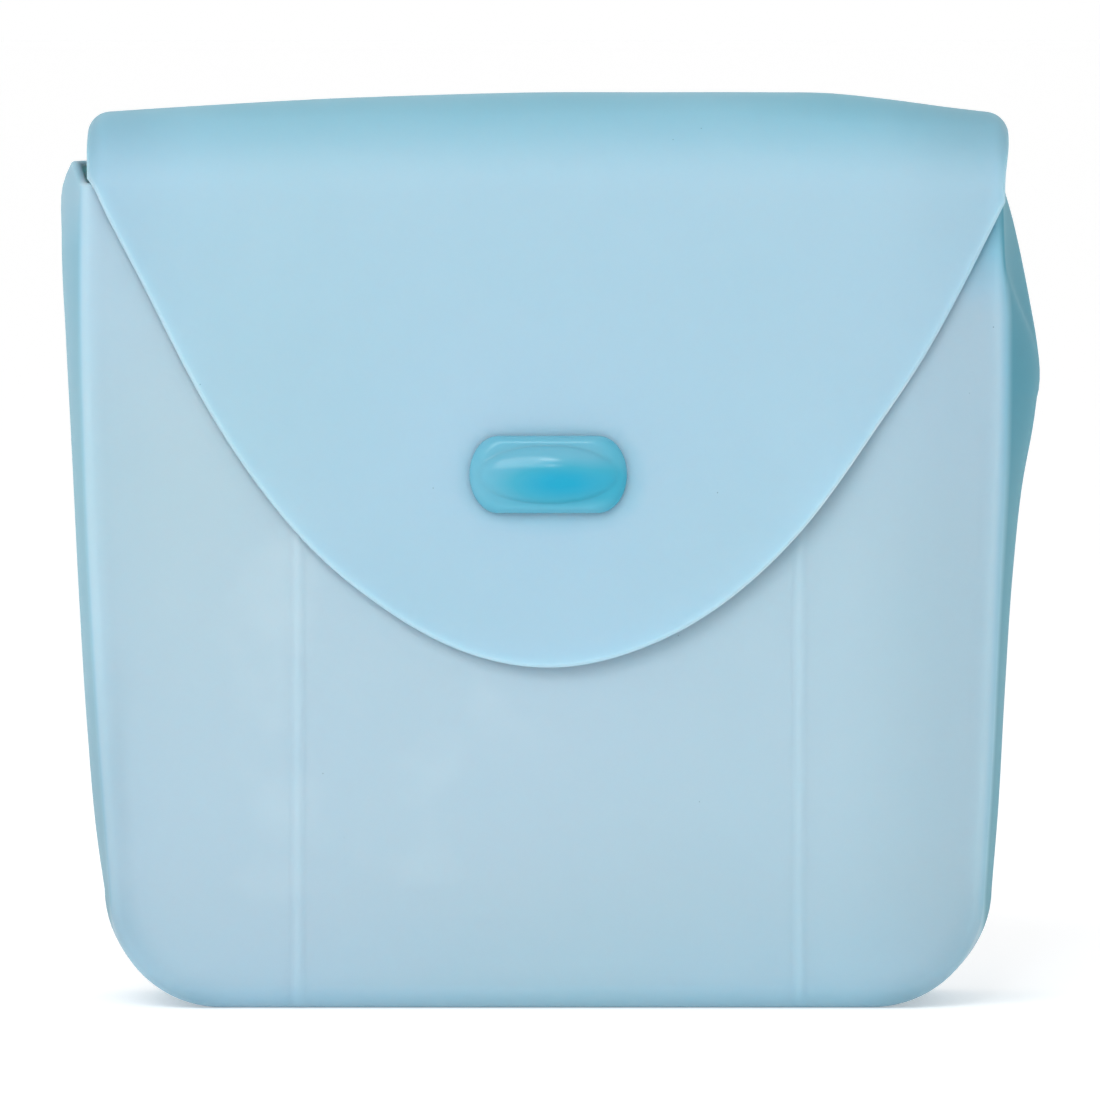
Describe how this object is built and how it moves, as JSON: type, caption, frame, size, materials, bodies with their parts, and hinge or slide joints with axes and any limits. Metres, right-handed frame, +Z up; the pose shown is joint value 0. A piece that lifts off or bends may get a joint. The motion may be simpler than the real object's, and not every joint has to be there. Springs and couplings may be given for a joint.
{
  "type": "treat pouch",
  "caption": "Soft silicone treat pouch with side gussets, a flat base and a roll-over flap whose slot goes over a button on the front panel.",
  "frame": {"origin": "centre of the flat base, on the floor", "axes": "+Z up, the front panel with the button faces -Y, +X to the right seen from the front"},
  "size_m": [0.1614, 0.044, 0.1504],
  "materials": {
    "pouch_silicone": "matte",
    "button_silicone": "satin"
  },
  "bodies": {
    "pouch": {"back_panel": "pouch_silicone", "back_edge_band": "pouch_silicone", "base_tray": "pouch_silicone", "left_gusset_rear": "pouch_silicone", "left_gusset_front": "pouch_silicone", "right_gusset_rear": "pouch_silicone", "right_gusset_front": "pouch_silicone", "front_edge_band": "pouch_silicone"},
    "front": {"front_panel": "pouch_silicone", "left_rib": "pouch_silicone", "right_rib": "pouch_silicone", "button_anchor": "button_silicone", "button_neck": "button_silicone"},
    "bridge": {"back_fold": "pouch_silicone", "flap_bridge": "pouch_silicone", "front_fold": "pouch_silicone"},
    "flap": {"flap_panel": "pouch_silicone", "slot_collar": "pouch_silicone"},
    "button": {"button_head": "button_silicone"}
  },
  "joints": [
    {"name": "flap_back_fold", "type": "hinge", "parent": "pouch", "child": "bridge", "pos_m": [0, 0.0128, 0.1424], "axis": [-1, 0, 0], "range_deg": [0, 120], "stiffness_Nm_per_rad": 0.003, "deforming": ["back_fold"]},
    {"name": "flap_front_fold", "type": "hinge", "parent": "bridge", "child": "flap", "pos_m": [0, -0.0151, 0.1424], "axis": [-1, 0, 0], "range_deg": [0, 120], "stiffness_Nm_per_rad": 0.003, "deforming": ["front_fold", "slot_collar"]},
    {"name": "mouth_squeeze", "type": "hinge", "parent": "pouch", "child": "front", "pos_m": [0, -0.019, 0.0025], "axis": [1, 0, 0], "range_deg": [-8, 0], "stiffness_Nm_per_rad": 0.2, "deforming": ["front_edge_band", "left_gusset_front", "left_gusset_rear", "right_gusset_front", "right_gusset_rear"]},
    {"name": "button_rock", "type": "hinge", "parent": "front", "child": "button", "pos_m": [0, -0.0171, 0.0879], "axis": [1, 0, 0], "range_deg": [-12, 12], "stiffness_Nm_per_rad": 0.05, "deforming": ["button_neck"]}
  ],
  "couplings": [
    {"joint": "flap_front_fold", "follows": "flap_back_fold", "ratio": 1}
  ]
}
